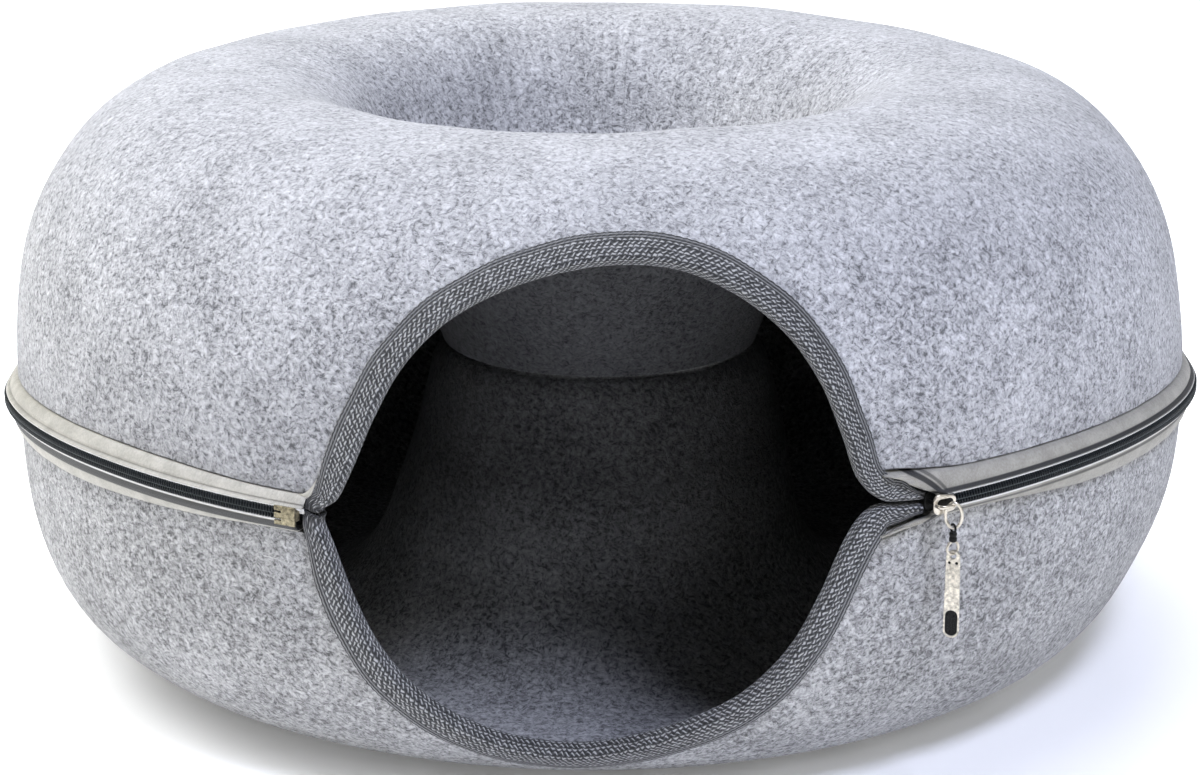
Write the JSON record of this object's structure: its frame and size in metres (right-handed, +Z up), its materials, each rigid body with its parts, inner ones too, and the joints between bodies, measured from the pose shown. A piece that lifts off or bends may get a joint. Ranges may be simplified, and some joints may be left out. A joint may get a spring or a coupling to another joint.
{
  "type": "felt cat tunnel",
  "caption": "Ring-shaped pet bed of two pressed felt shells zipped together, with a bound side entrance into a round tunnel and a bowl on top.",
  "frame": {"origin": "on the floor, in the middle of the whole footprint", "axes": "+Z up; the side entrance faces -Y and the zip's slider is to its +X side"},
  "size_m": [0.5988, 0.5756, 0.284],
  "materials": {
    "felt_upper": "heathered light grey needle felt",
    "felt_lower": "heathered light grey needle felt",
    "binding": "dark grey herringbone twill tape",
    "zip_tape": "woven grey zip tape",
    "zip_coil": "dark nylon coil",
    "zip_stop": "plain brass",
    "zip_metal": "bright plated metal",
    "swivel": "dark plated metal"
  },
  "bodies": {
    "root": {"felt_upper_shell": "felt_upper", "felt_lower_shell": "felt_lower", "binding_upper": "binding", "binding_lower": "binding", "zip_tape_upper": "zip_tape", "zip_tape_lower": "zip_tape", "zip_coil_upper": "zip_coil", "zip_coil_lower": "zip_coil", "zip_stop": "zip_stop", "zip_slider": "zip_metal", "pull_ring": "zip_metal", "pull_swivel": "swivel", "pull_tab": "zip_metal"}
  },
  "joints": []
}
